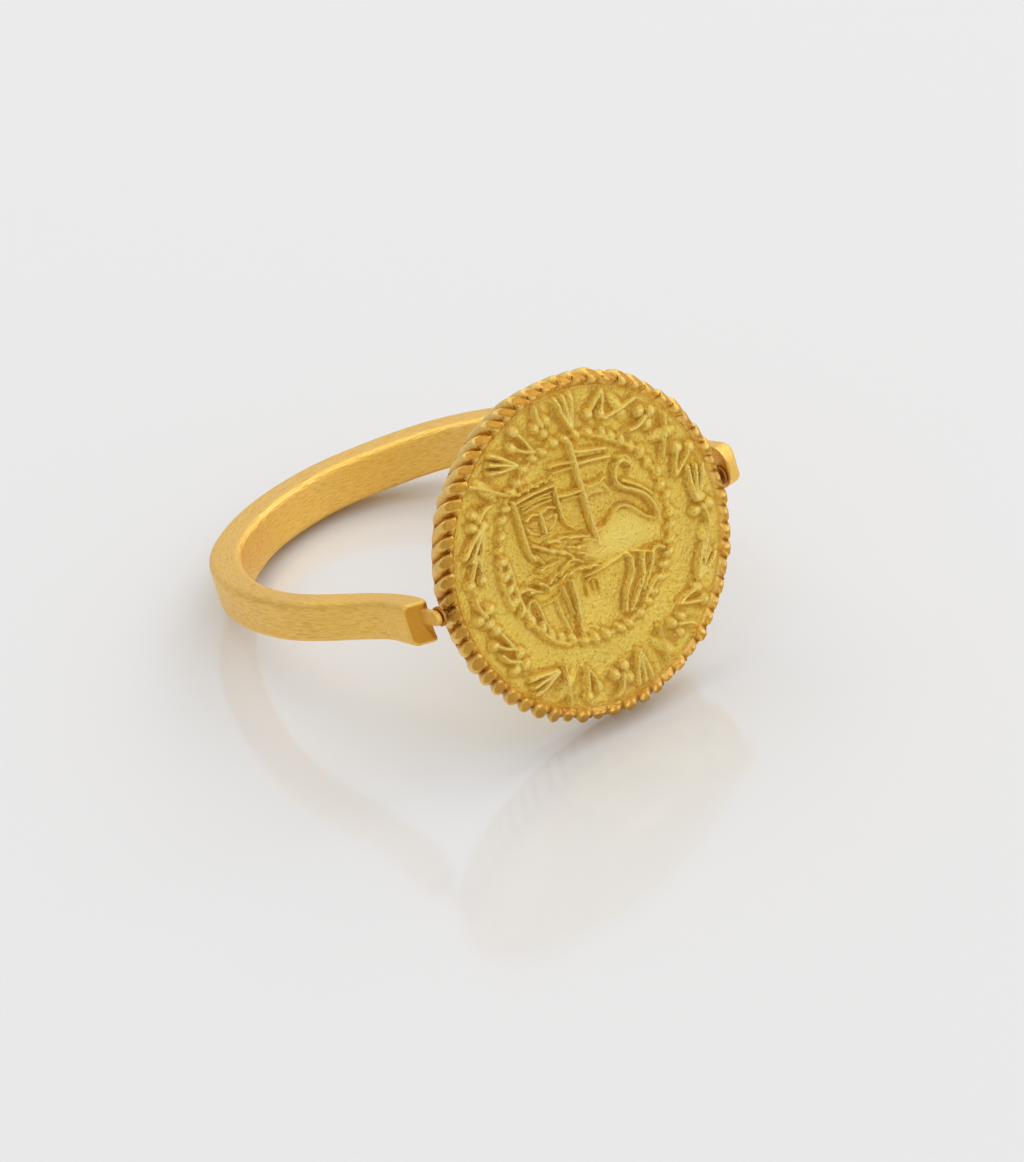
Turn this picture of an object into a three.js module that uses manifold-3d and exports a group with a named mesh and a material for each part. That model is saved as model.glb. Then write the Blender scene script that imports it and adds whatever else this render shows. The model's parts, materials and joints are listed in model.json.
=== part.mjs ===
// Swivel signet ring in millimetres, +Z up: a forged hoop whose arms carry a round medallion on pivot pins.
// It stands the way such a ring is laid down, on the medallion's edge and on the back of the hoop.
// Ring frame, before it is laid down: X along the pivot, Y from the medallion to the back of the hoop,
// Z along the finger.
import * as THREE from "three";
import { mergeVertices } from "three/addons/utils/BufferGeometryUtils.js";
import Module from "manifold-3d";

const wasm = await Module();
wasm.setup();

// ---- driving dimensions ----
const MEDALLION_RADIUS = 7.75; // over the crests of the border wire
const MEDALLION_THICKNESS = 1.9; // over the border wire's two sides
const MEDALLION_TURN = THREE.MathUtils.degToRad(1.6); // leans back from square to the hoop, as it was left
const BORDER_WALL = 0.7; // border wire, crest to bore
const FRONT_SLOPE = 0.5; // the front ends of the ridges are flattened on a slope this deep
const REVERSE_EASE = 0.15; // and their other ends only eased
const RIDGE_COUNT = 58;
const RIDGE_HEIGHT = 0.3;
const PLATE_SKIN = 0.15; // metal left between a bearing tube's seat and each plate's field
const RELIEF_HEIGHT = 0.25;
const RELIEF_ROOT = 0.1; // how deep the raised work is sunk into the plate it grows from
const BEAD_COUNT = 48;
const BEAD_RADIUS = 0.26;
const BEAD_CIRCLE = 4.5; // radius of the circle of beads
const RELIEF_CENTRE = new THREE.Vector2(-0.05, 0.5); // the raised work sits a little off the middle
const PIN_RADIUS = 0.2;
const PIN_IN_MEDALLION = 2.1; // length of pin inside the medallion
const TUBE_WALL = 0.15;
const TUBE_LENGTH = 2.7;
const WASHER_THICKNESS = 0.1;
const WASHER_WIDTH = 0.22; // from a washer's bore to its rim
const BACK_HEIGHT = 2.1; // of the band, along the finger, at the back of the hoop
const ARM_HEIGHT = 1.8; // and at the arms' ends
const BACK_THICKNESS = 1.65;
const ARM_THICKNESS = 1.17;
const ARM_FRONT = 0.95; // pivot axis to the flat end of the right arm
const HOOP_LENGTH = 19.4; // pivot axis to the inside of the hoop's back
const HOOP_HALF_WIDTH = 9.0; // inside, at the widest place
const BACK_ROUND = 9.6; // length of the half ellipse that closes the hoop at the back
const WAIST_STEP = 0.49; // behind the medallion the arms draw in this far past their faces at the washers
const WAIST_BACK = 2.6; // the waist's distance behind the pivot axis
const ARM_FLARE = 0.12; // the arms' ends stand out this much from the waist
const TONGUE_THICKNESS = 0.25; // the left arm is cut short, and only this tongue reaches the pivot
const TONGUE_HALF_HEIGHT = 0.34;
const LEFT_ARM_CUT = 1.1; // pivot axis to the nearest point of the left arm's slanted end
const LEFT_ARM_SLANT = THREE.MathUtils.degToRad(35);
const PIN_SKIN = 0.05; // metal left over the outer end of each pin
const HOOP_LEAN = THREE.MathUtils.degToRad(1.6); // the hand-made hoop leans to one side of the medallion
const HOOP_TWIST = THREE.MathUtils.degToRad(2.3); // and is twisted a little against it
const EDGE_CHAMFER = 0.25;
const SOLDER_GAP = 0.02; // between pieces that are soldered together
const RUNNING_GAP = 0.03; // between pieces that turn on each other
const ARC_STEPS = 48;

// ---- sizes worked out from them ----
const BORDER_BORE = MEDALLION_RADIUS - BORDER_WALL;
const PLATE_RADIUS = BORDER_BORE - SOLDER_GAP;
const TUBE_BORE = PIN_RADIUS + RUNNING_GAP;
const TUBE_RADIUS = TUBE_BORE + TUBE_WALL;
const TUBE_SEAT = TUBE_RADIUS + SOLDER_GAP;
const FIELD_LEVEL = TUBE_SEAT + PLATE_SKIN; // of each plate's field, from the medallion's middle plane
const TUBE_OUTER_END = MEDALLION_RADIUS - RIDGE_HEIGHT;
const WASHER_RADIUS = TUBE_BORE + WASHER_WIDTH;
const ARM_INSIDE = MEDALLION_RADIUS + WASHER_THICKNESS + 2 * RUNNING_GAP;
const WAIST_HALF_WIDTH = ARM_INSIDE - WAIST_STEP;
const PIN_END = ARM_INSIDE + TONGUE_THICKNESS - PIN_SKIN;
const SHOULDER = HOOP_LENGTH - BACK_ROUND; // where the half ellipse begins

// ---- finishes ----
const forgedGold = new THREE.MeshStandardMaterial({ color: 0xe0b468, roughness: 0.42, metalness: 1 });
const castGold = new THREE.MeshStandardMaterial({ color: 0xd8b454, roughness: 0.5, metalness: 1 });
const wireGold = new THREE.MeshStandardMaterial({ color: 0xd9a64a, roughness: 0.38, metalness: 1 });
const pinGold = new THREE.MeshStandardMaterial({ color: 0xc8963c, roughness: 0.35, metalness: 1 });

// ---- booleans ----
function toSolid(geometry) {
  const bare = geometry.index ? geometry.toNonIndexed() : geometry.clone();
  bare.deleteAttribute("normal");
  bare.deleteAttribute("uv");
  const merged = mergeVertices(bare, 1e-5);
  return new wasm.Manifold(
    new wasm.Mesh({
      numProp: 3,
      vertProperties: new Float32Array(merged.attributes.position.array),
      triVerts: new Uint32Array(merged.index.array),
    }),
  );
}

function toGeometry(solid) {
  const mesh = solid.getMesh();
  const stride = mesh.numProp;
  const points = new Float32Array(mesh.numVert * 3);
  for (let i = 0; i < mesh.numVert; i++) {
    points.set(mesh.vertProperties.subarray(i * stride, i * stride + 3), i * 3);
  }
  return new THREE.BufferGeometry()
    .setAttribute("position", new THREE.BufferAttribute(points, 3))
    .setIndex(new THREE.BufferAttribute(new Uint32Array(mesh.triVerts), 1));
}

function cut(geometry, ...tools) {
  const solid = tools.reduce((left, tool) => left.subtract(toSolid(tool)), toSolid(geometry));
  return toGeometry(solid);
}

// A round bar along X from x = from to x = to.
function barAlongX(radius, from, to, steps = ARC_STEPS / 2) {
  return new THREE.CylinderGeometry(radius, radius, Math.abs(to - from), steps)
    .rotateZ(Math.PI / 2)
    .translate((from + to) / 2, 0, 0);
}

// A tube along X, made as a washer-shaped outline pushed along X.
function tubeAlongX(radius, bore, from, to) {
  const ring = new THREE.Shape().absarc(0, 0, radius, 0, 2 * Math.PI);
  ring.holes.push(new THREE.Path().absarc(0, 0, bore, 0, 2 * Math.PI, true));
  return new THREE.ExtrudeGeometry(ring, {
    depth: Math.abs(to - from),
    bevelEnabled: false,
    curveSegments: ARC_STEPS / 2,
  })
    .rotateY(Math.PI / 2)
    .translate(Math.min(from, to), 0, 0);
}

// ---- hoop ----
function swell(from, to, share) {
  return THREE.MathUtils.lerp(from, to, (1 - Math.cos(Math.PI * share)) / 2);
}

// Half the inside width that the band was bent to, at a distance y behind the pivot axis.
function bentHalfWidth(y) {
  const flared = (WAIST_BACK - y) / (WAIST_BACK + ARM_FRONT);
  if (flared > 0) return WAIST_HALF_WIDTH + ARM_FLARE * flared ** 2;
  return swell(WAIST_HALF_WIDTH, HOOP_HALF_WIDTH, (y - WAIST_BACK) / (SHOULDER - WAIST_BACK));
}

// Points of the right half of that line, from the arm's end to just short of the middle of the back.
function bentLine() {
  const points = [];
  const armSteps = 30;
  for (let i = 0; i <= armSteps; i++) {
    const y = THREE.MathUtils.lerp(-ARM_FRONT, SHOULDER, i / armSteps);
    points.push(new THREE.Vector2(bentHalfWidth(y), y));
  }
  const backSteps = ARC_STEPS / 2;
  for (let i = 1; i < backSteps; i++) {
    const turn = (Math.PI / 2) * (i / backSteps);
    points.push(new THREE.Vector2(HOOP_HALF_WIDTH * Math.cos(turn), SHOULDER + BACK_ROUND * Math.sin(turn)));
  }
  return points;
}

// The same points pushed outwards by the metal's thickness, which grows towards the back.
function outsideLine(bent) {
  return bent.map((point, i) => {
    const before = bent[Math.max(0, i - 1)];
    const after = i + 1 < bent.length ? bent[i + 1] : new THREE.Vector2(0, HOOP_LENGTH);
    const outward = new THREE.Vector2(after.y - before.y, before.x - after.x).normalize();
    const share = THREE.MathUtils.smoothstep(point.y, SHOULDER, HOOP_LENGTH);
    const thickness = THREE.MathUtils.lerp(ARM_THICKNESS, BACK_THICKNESS, share);
    return point.clone().addScaledVector(outward, thickness);
  });
}

// One closed outline: out along the right arm's outside, round the back, in again along the inside.
function hoopOutline() {
  const inner = bentLine();
  const outer = outsideLine(inner);
  const mirrored = (points) => points.map((p) => new THREE.Vector2(-p.x, p.y)).reverse();
  return [
    ...outer,
    new THREE.Vector2(0, HOOP_LENGTH + BACK_THICKNESS),
    ...mirrored(outer),
    ...mirrored(inner).reverse(),
    new THREE.Vector2(0, HOOP_LENGTH),
    ...inner.slice().reverse(),
  ];
}

function bandGeometry() {
  const band = new THREE.ExtrudeGeometry(new THREE.Shape(hoopOutline()), {
    depth: BACK_HEIGHT - 2 * EDGE_CHAMFER,
    bevelEnabled: true,
    bevelThickness: EDGE_CHAMFER,
    bevelSize: EDGE_CHAMFER,
    bevelOffset: -EDGE_CHAMFER,
    bevelSegments: 1,
  }).translate(0, 0, EDGE_CHAMFER - BACK_HEIGHT / 2);
  // the band grows evenly taller from the arms' ends to the back
  const points = band.attributes.position;
  for (let i = 0; i < points.count; i++) {
    const share = (points.getY(i) + ARM_FRONT) / (HOOP_LENGTH + BACK_THICKNESS + ARM_FRONT);
    points.setZ(i, points.getZ(i) * THREE.MathUtils.lerp(ARM_HEIGHT / BACK_HEIGHT, 1, share));
  }
  return band.rotateZ(HOOP_LEAN).rotateY(-HOOP_TWIST);
}

// What is cut from the left arm: all that lies in front of a slanted plane, but for the tongue.
function leftArmWaste() {
  const size = 3 * BACK_HEIGHT;
  const block = new THREE.BoxGeometry(2 * size, size, size)
    .translate(0, -size / 2, 0)
    .rotateZ(-LEFT_ARM_SLANT)
    .translate(-ARM_INSIDE, LEFT_ARM_CUT, 0);
  const outerFace = -(ARM_INSIDE + TONGUE_THICKNESS);
  const tongue = new THREE.BoxGeometry(TONGUE_THICKNESS, size, 2 * TONGUE_HALF_HEIGHT)
    .translate(outerFace + TONGUE_THICKNESS / 2, size / 2, 0);
  const tongueEnd = barAlongX(TONGUE_HALF_HEIGHT, outerFace, -ARM_INSIDE);
  return toSolid(block).subtract(toSolid(tongue)).subtract(toSolid(tongueEnd));
}

function shankGeometry() {
  // turned away inside the arms, so that the medallion and its washers swing clear
  const swing = Math.hypot(MEDALLION_RADIUS, MEDALLION_THICKNESS / 2) + 2 * RUNNING_GAP;
  const swept = new THREE.SphereGeometry(swing, 2 * ARC_STEPS, ARC_STEPS);
  const facing = 2 * WASHER_RADIUS;
  const faced = new THREE.BoxGeometry(2 * ARM_INSIDE, 2 * facing, 2 * BACK_HEIGHT)
    .translate(0, RUNNING_GAP - facing / 2, 0);
  const seat = PIN_RADIUS + SOLDER_GAP;
  let shank = toSolid(bandGeometry())
    .subtract(toSolid(swept))
    .subtract(toSolid(faced))
    .subtract(leftArmWaste());
  for (const side of [-1, 1]) {
    shank = shank.subtract(toSolid(barAlongX(seat, side * BORDER_BORE, side * (PIN_END + SOLDER_GAP))));
  }
  return toGeometry(shank);
}

// ---- medallion ----
// The border wire: a ring with rounded ridges across it, their front ends flattened on a slope.
function borderGeometry() {
  const outline = [];
  const stepsPerRidge = 6;
  for (let i = 0; i < RIDGE_COUNT * stepsPerRidge; i++) {
    const turn = (2 * Math.PI * i) / (RIDGE_COUNT * stepsPerRidge);
    const crest = Math.sqrt(Math.abs(Math.cos((turn * RIDGE_COUNT) / 2)));
    const radius = MEDALLION_RADIUS - RIDGE_HEIGHT * (1 - crest);
    outline.push(new THREE.Vector2(radius * Math.cos(turn), radius * Math.sin(turn)));
  }
  const ridged = new THREE.ExtrudeGeometry(new THREE.Shape(outline), {
    depth: 2 * MEDALLION_THICKNESS,
    bevelEnabled: false,
  })
    .translate(0, 0, -MEDALLION_THICKNESS)
    .rotateX(Math.PI / 2);
  const half = MEDALLION_THICKNESS / 2;
  const sloped = new THREE.LatheGeometry(
    [
      new THREE.Vector2(BORDER_BORE, -half),
      new THREE.Vector2(MEDALLION_RADIUS - FRONT_SLOPE, -half),
      new THREE.Vector2(MEDALLION_RADIUS, FRONT_SLOPE - half),
      new THREE.Vector2(MEDALLION_RADIUS, half - REVERSE_EASE),
      new THREE.Vector2(MEDALLION_RADIUS - REVERSE_EASE, half),
      new THREE.Vector2(BORDER_BORE, half),
      new THREE.Vector2(BORDER_BORE, -half),
    ],
    2 * ARC_STEPS,
  );
  const through = barAlongX(TUBE_SEAT, -2 * MEDALLION_RADIUS, 2 * MEDALLION_RADIUS);
  return toGeometry(toSolid(sloped).intersect(toSolid(ridged)).subtract(toSolid(through)));
}

// Outlines of the raised work, drawn as the face is seen, from the middle of the circle of beads.
function beadOutlines() {
  const beads = [];
  for (let i = 0; i < BEAD_COUNT; i++) {
    const turn = (2 * Math.PI * i) / BEAD_COUNT;
    const [x, y] = [BEAD_CIRCLE * Math.cos(turn), BEAD_CIRCLE * Math.sin(turn)];
    beads.push(roundOutline(x, y, BEAD_RADIUS, BEAD_RADIUS, 6));
  }
  return beads;
}

function roundOutline(x, y, halfWidth, halfHeight, steps) {
  const points = [];
  for (let i = 0; i < steps; i++) {
    const turn = (2 * Math.PI * i) / steps;
    points.push(new THREE.Vector2(x + halfWidth * Math.cos(turn), y + halfHeight * Math.sin(turn)));
  }
  return points;
}

// A straight bar between two points with square ends.
function barOutline(fromX, fromY, toX, toY, width) {
  const from = new THREE.Vector2(fromX, fromY);
  const to = new THREE.Vector2(toX, toY);
  const across = to.clone().sub(from).normalize().multiplyScalar(width / 2);
  across.set(-across.y, across.x);
  return [from.clone().sub(across), to.clone().sub(across), to.clone().add(across), from.clone().add(across)];
}

// A standing lamb, its head turned to the front, and behind it a long staff with cross bars and a pennant.
function lambOutlines() {
  return [
    roundOutline(1.7, -0.6, 1.6, 0.95, 16), // body
    roundOutline(-1.9, 0.3, 1.25, 1.7, 16), // head and fleece
    barOutline(-1.2, -1.2, -1.6, -3.6, 0.45), // legs
    barOutline(-2.9, -1.2, -3.3, -2.9, 0.45),
    barOutline(1.6, -1.4, 0.4, -3.3, 0.45),
    barOutline(2.6, -1.5, 1.9, -3.2, 0.45),
    barOutline(3.2, 0.0, 3.3, 0.9, 0.5), // tail, bent over and curled at its tip
    barOutline(3.3, 0.9, 2.5, 1.9, 0.4),
    roundOutline(2.75, 2.2, 0.5, 0.45, 12),
    barOutline(0.1, -0.6, 0.1, 4.1, 0.3), // staff, cross bars and pennant
    barOutline(-0.9, 3.3, 0.9, 3.4, 0.25),
    barOutline(-0.9, 2.0, 1.7, 2.0, 0.3),
    barOutline(0.2, 3.7, 2.0, 3.5, 0.35),
  ];
}

function raise(outline) {
  return toSolid(
    new THREE.ExtrudeGeometry(new THREE.Shape(outline), {
      depth: RELIEF_HEIGHT + RELIEF_ROOT,
      bevelEnabled: false,
    })
      .rotateX(Math.PI / 2)
      .translate(RELIEF_CENTRE.x, RELIEF_ROOT - FIELD_LEVEL, RELIEF_CENTRE.y),
  );
}

// facing is -1 for the plate at the front (-Y) and 1 for the one at the back.
function plateGeometry(facing, outlines) {
  const thickness = FIELD_LEVEL - SOLDER_GAP / 2;
  const disc = new THREE.CylinderGeometry(PLATE_RADIUS, PLATE_RADIUS, thickness, 2 * ARC_STEPS)
    .translate(0, facing * (FIELD_LEVEL - thickness / 2), 0);
  const grooveStart = TUBE_OUTER_END - TUBE_LENGTH - SOLDER_GAP;
  const grooveEnd = 2 * MEDALLION_RADIUS;
  const grooves = [-1, 1].map((side) => barAlongX(TUBE_SEAT, side * grooveStart, side * grooveEnd));
  const plate = toSolid(cut(disc, ...grooves));
  return toGeometry(outlines.reduce((body, outline) => body.add(raise(outline)), plate));
}

// ---- assembly ----
function named(name, geometry, material) {
  const mesh = new THREE.Mesh(geometry, material);
  mesh.name = name;
  return mesh;
}

const hoop = new THREE.Group();
hoop.add(named("shank", shankGeometry(), forgedGold));
const medallion = new THREE.Group();
medallion.rotation.x = -MEDALLION_TURN;
medallion.add(named("border_wire", borderGeometry(), wireGold));
medallion.add(named("obverse_plate", plateGeometry(-1, [...beadOutlines(), ...lambOutlines()]), castGold));
medallion.add(named("reverse_plate", plateGeometry(1, []), castGold));
for (const [label, side] of [["left", -1], ["right", 1]]) {
  const pinStart = MEDALLION_RADIUS - PIN_IN_MEDALLION;
  hoop.add(named(`pivot_pin_${label}`, barAlongX(PIN_RADIUS, side * pinStart, side * PIN_END), pinGold));
  const washerStart = MEDALLION_RADIUS + RUNNING_GAP;
  const washerEnd = washerStart + WASHER_THICKNESS;
  const washer = tubeAlongX(WASHER_RADIUS, TUBE_BORE, side * washerStart, side * washerEnd);
  hoop.add(named(`washer_${label}`, washer, pinGold));
  const tubeStart = TUBE_OUTER_END - TUBE_LENGTH;
  const tube = tubeAlongX(TUBE_RADIUS, TUBE_BORE, side * tubeStart, side * TUBE_OUTER_END);
  medallion.add(named(`bearing_tube_${label}`, tube, pinGold));
}

// Tipped about the pivot until the hoop's back and the medallion's edge reach down equally far.
const ring = new THREE.Group();
ring.add(hoop, medallion);
const lowest = (piece) => new THREE.Box3().setFromObject(piece, true).min.z;
let [level, steep] = [0, Math.PI / 4];
while (steep - level > 1e-7) {
  ring.rotation.x = -(level + steep) / 2;
  ring.updateMatrixWorld();
  if (lowest(hoop) > lowest(medallion)) level = -ring.rotation.x;
  else steep = -ring.rotation.x;
}

// Then moved so that the origin is under its middle on the table.
const laidDown = new THREE.Group();
laidDown.add(ring);
const box = new THREE.Box3().setFromObject(laidDown, true);
ring.position.set(-(box.min.x + box.max.x) / 2, -(box.min.y + box.max.y) / 2, -box.min.z);

export default laidDown;
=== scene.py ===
# %% [markdown]
# # A swivel signet ring in yellow gold
# The ring is a flat-sided forged hoop whose two arms hold a round medallion on pivot pins.
# The medallion has a border of rounded ridges and a cast face with a lamb, a staff and a circle of beads.
# The solid model gives every place and size; here we only make the surfaces and the metal look real.

# %% Load the solid model
import json
import math

import bmesh
import bpy
import numpy as np
from mathutils import Matrix, Vector


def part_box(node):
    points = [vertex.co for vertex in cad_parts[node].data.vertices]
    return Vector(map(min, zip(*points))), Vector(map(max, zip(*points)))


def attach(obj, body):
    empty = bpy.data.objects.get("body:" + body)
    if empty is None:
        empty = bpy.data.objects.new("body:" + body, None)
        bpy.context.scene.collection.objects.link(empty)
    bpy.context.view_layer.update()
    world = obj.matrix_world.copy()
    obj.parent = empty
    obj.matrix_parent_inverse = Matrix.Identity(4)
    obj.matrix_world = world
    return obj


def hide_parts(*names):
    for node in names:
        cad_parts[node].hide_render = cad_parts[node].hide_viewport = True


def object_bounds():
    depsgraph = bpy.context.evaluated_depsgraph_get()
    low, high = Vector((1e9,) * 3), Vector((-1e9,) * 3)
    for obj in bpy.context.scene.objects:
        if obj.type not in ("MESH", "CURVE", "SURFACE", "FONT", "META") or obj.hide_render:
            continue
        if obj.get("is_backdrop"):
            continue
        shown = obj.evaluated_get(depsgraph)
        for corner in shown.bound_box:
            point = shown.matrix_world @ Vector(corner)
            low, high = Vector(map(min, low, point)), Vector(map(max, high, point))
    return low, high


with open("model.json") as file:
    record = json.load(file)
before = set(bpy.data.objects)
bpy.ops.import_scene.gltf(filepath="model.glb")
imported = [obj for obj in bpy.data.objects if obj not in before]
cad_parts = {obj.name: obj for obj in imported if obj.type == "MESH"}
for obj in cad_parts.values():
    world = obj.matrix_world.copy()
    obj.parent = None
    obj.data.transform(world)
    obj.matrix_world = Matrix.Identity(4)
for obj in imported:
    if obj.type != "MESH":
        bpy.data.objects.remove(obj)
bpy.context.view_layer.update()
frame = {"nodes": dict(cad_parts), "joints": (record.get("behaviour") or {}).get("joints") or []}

MM = 0.001

# %% [markdown]
# ## Two working frames
# The hoop and the medallion lie tipped on the table, so it is easier to draw each in a frame of its own.
# In both, X runs along the pivot. In the medallion's frame Y goes up its face and Z comes out of it.
# In the hoop's frame Y goes from the medallion to the back of the hoop and Z along the finger.
# The tip of the medallion could be written as a number, but reading it from the flat back of the reverse
# plate keeps the two models together when the solid one changes.

# %% Read the pivot and the tilt
pivot = Vector(frame["joints"][0]["pos_m"])
largest = max(frame["nodes"]["reverse_plate"].data.polygons, key=lambda face: face.area)
face_out = Vector(largest.normal)
if face_out.y > 0:
    face_out = -face_out
pivot_line = Vector((1, 0, 0))
face_up = face_out.cross(pivot_line)
medallion_frame = Matrix.Translation(pivot) @ Matrix((pivot_line, face_up, face_out)).transposed().to_4x4()

MEDALLION_TURN = math.radians(1.6)
tilt = math.asin(abs(face_out.z))
ring_tilt = tilt - MEDALLION_TURN
ring_frame = Matrix.Translation(pivot) @ Matrix.Rotation(-ring_tilt, 4, "X")
print("medallion and hoop lean", [round(math.degrees(angle), 2) for angle in (tilt, ring_tilt)], "degrees")

# %% [markdown]
# ## Sizes
# The medallion's radius comes from the border wire's box. The other sizes are the maker's, and the solid
# model uses the same ones: how thick the band is, where it draws in, how far the arms stand clear.

# %% Name the sizes, in millimetres
border_low, border_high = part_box("border_wire")
RADIUS = (border_high.x - border_low.x) / 2 / MM
THICKNESS = 1.9
BORE = 7.05
FIELD = 0.55
RIDGES = 58

BACK_HEIGHT, ARM_HEIGHT = 2.1, 1.8
BACK_THICKNESS, ARM_THICKNESS = 1.65, 1.17
ARM_FRONT = 0.95
HOOP_LENGTH, HOOP_HALF_WIDTH, BACK_ROUND = 19.4, 9.0, 9.6
WAIST_HALF_WIDTH, WAIST_BACK, ARM_FLARE = 7.42, 2.6, 0.12
RIM_TO_ARM = 0.16
ARM_INSIDE = RADIUS + RIM_TO_ARM
FACING = 0.48
LEFT_ARM_CUT, LEFT_ARM_SLANT = 1.1, math.radians(35)
TONGUE_THICKNESS, TONGUE_HALF_HEIGHT = 0.25, 0.34
HOOP_LEAN, HOOP_TWIST = math.radians(1.6), math.radians(2.3)
SHOULDER = HOOP_LENGTH - BACK_ROUND
SWING_GAP = 0.06
SWING = math.hypot(RADIUS, THICKNESS / 2) + SWING_GAP
print("medallion", round(2 * RADIUS, 2), "mm across")

# %% [markdown]
# ## Helpers for making meshes
# Most surfaces here are grids of points worked out by a formula: along one way and round the other.
# Such a grid is quick to make with numpy, and its faces come in even rows that catch the light smoothly.

# %% Turn grids of points into meshes
def grid_faces(rows, columns, wrap_rows=False, wrap_columns=False):
    faces = []
    for i in range(rows if wrap_rows else rows - 1):
        for j in range(columns if wrap_columns else columns - 1):
            a, b = i * columns + j, i * columns + (j + 1) % columns
            c, d = ((i + 1) % rows) * columns + (j + 1) % columns, ((i + 1) % rows) * columns + j
            faces.append((a, b, c, d))
    return faces


def mesh_piece(name, points_mm, faces, frame_matrix, body, smooth=True):
    mesh = bpy.data.meshes.new(name)
    mesh.from_pydata([tuple(p * MM) for p in points_mm], [], faces)
    mesh.transform(frame_matrix)
    shaper = bmesh.new()
    shaper.from_mesh(mesh)
    bmesh.ops.recalc_face_normals(shaper, faces=shaper.faces)
    shaper.to_mesh(mesh)
    shaper.free()
    mesh.polygons.foreach_set("use_smooth", [smooth] * len(mesh.polygons))
    piece = bpy.data.objects.new(name, mesh)
    bpy.context.scene.collection.objects.link(piece)
    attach(piece, body)
    print(name, "has", len(mesh.vertices), "points and", len(mesh.polygons), "faces")
    return piece


def add_values(piece, name, values, kind="FLOAT"):
    layer = piece.data.attributes.new(name, kind, "POINT")
    field = "value" if kind == "FLOAT" else "vector"
    layer.data.foreach_set(field, np.asarray(values, np.float32).ravel())


def smooth_step(x, low, high):
    t = np.clip((x - low) / (high - low), 0, 1)
    return t * t * (3 - 2 * t)


# %% [markdown]
# ## Soft irregular noise
# Hand work is never quite even. A few sine waves in mixed directions, added up with a fixed seed, give a
# smooth wander that is the same on every run. Small octaves of it make the sandy skin of a casting.

# %% Make a noise function
def wander(seed, scale, waves=14):
    dice = np.random.default_rng(seed)
    ways = dice.normal(size=(waves, 3))
    ways /= np.linalg.norm(ways, axis=1)[:, None]
    ways *= dice.uniform(0.6, 1.6, waves)[:, None] * 2 * math.pi / scale
    starts = dice.uniform(0, 2 * math.pi, waves)

    def value(x, y, z=0.0):
        total = 0.0
        for way, start in zip(ways, starts):
            total = total + np.sin(x * way[0] + y * way[1] + z * way[2] + start)
        return total / math.sqrt(waves / 2)

    return value


# %% [markdown]
# ## The hoop
# A goldsmith forges the band from a flat bar, bends it round a mandrel and files its sides true.
# So we draw it the same way: a line that the bar was bent to, and a rounded-rectangle section that is
# carried along the line. The bar thickens towards the back, and it draws in behind the medallion.

# %% The line that the bar was bent to
def bent_half_width(y):
    if y < WAIST_BACK:
        return WAIST_HALF_WIDTH + ARM_FLARE * ((WAIST_BACK - y) / (WAIST_BACK + ARM_FRONT)) ** 2
    share = (y - WAIST_BACK) / (SHOULDER - WAIST_BACK)
    return WAIST_HALF_WIDTH + (HOOP_HALF_WIDTH - WAIST_HALF_WIDTH) * (1 - math.cos(math.pi * share)) / 2


def half_line(end):
    arm = [(bent_half_width(y), y) for y in np.linspace(end, SHOULDER, 130)]
    turns = np.linspace(0, math.pi / 2, 150)[1:]
    return arm + [(HOOP_HALF_WIDTH * math.cos(t), SHOULDER + BACK_ROUND * math.sin(t)) for t in turns]


right_half, left_half = half_line(-ARM_FRONT), half_line(LEFT_ARM_CUT)
inner_line = np.array(right_half + [(-x, y) for x, y in reversed(left_half[:-1])])
travel = np.concatenate([[0], np.cumsum(np.linalg.norm(np.diff(inner_line, axis=0), axis=1))])
print("the bar is", round(travel[-1], 1), "mm long before bending, measured on its inside")

# %% [markdown]
# ## Its section
# The section is a rectangle with softly worn corners, wider where the band is wider. Near the left end the
# steps lean over, so that the last one is a slanted facet; near the right end they shrink along a quarter
# circle, which makes a rounded knob. The arms' insides are pushed out to let the medallion turn.

# %% Carry the section along the line
CORNER_STEPS, SIDE_STEPS = 7, 9
CORNER = 0.3
KNOB_ROUND, KNOB_TAPER = 0.85, 0.95
FACET_EASE, FACET_PUSH, FACET_AT = 0.14, 0.1, 0.55
END_SWELL = 0.06
LEAN_OVER = 3.0
WOBBLE, WOBBLE_LONG = 0.014, 6.0


def section(thickness, height):
    """Points round a rounded rectangle, as (out from the inside face, along the finger)."""
    corners = []
    for quarter, (side, end) in enumerate([(1, 1), (0, 1), (0, -1), (1, -1)]):
        centre_out, centre_along = thickness - CORNER if side else CORNER, end * (height / 2 - CORNER)
        for k in range(CORNER_STEPS):
            turn = math.pi / 2 * (quarter + k / (CORNER_STEPS - 1))
            corners.append((centre_out + CORNER * math.cos(turn), centre_along + CORNER * math.sin(turn)))
    points = []
    for k, point in enumerate(corners):
        points.append(point)
        if k % CORNER_STEPS == CORNER_STEPS - 1:
            after = corners[(k + 1) % len(corners)]
            for step in range(1, SIDE_STEPS):
                share = step / SIDE_STEPS
                points.append(tuple(a + (b - a) * share for a, b in zip(point, after)))
    return np.array(points)


def clear_of_medallion(x, y, z):
    """Moves a point of the arms outwards until the medallion and its washers swing clear of it."""
    room = np.sqrt(np.maximum(SWING**2 - y**2 - z**2, 0))
    room = np.where((y < FACING) & (y > -3 * FACING), np.maximum(room, ARM_INSIDE), room)
    return np.sign(x) * np.maximum(np.abs(x), room)


line_ways = np.gradient(inner_line, axis=0)
line_ways /= np.linalg.norm(line_ways, axis=1)[:, None]
line_out = np.stack([line_ways[:, 1], -line_ways[:, 0]], -1)
hand_wobble = wander(3, WOBBLE_LONG)
lean_and_twist = np.array(Matrix.Rotation(-HOOP_TWIST, 3, "Y") @ Matrix.Rotation(HOOP_LEAN, 3, "Z"))


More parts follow.
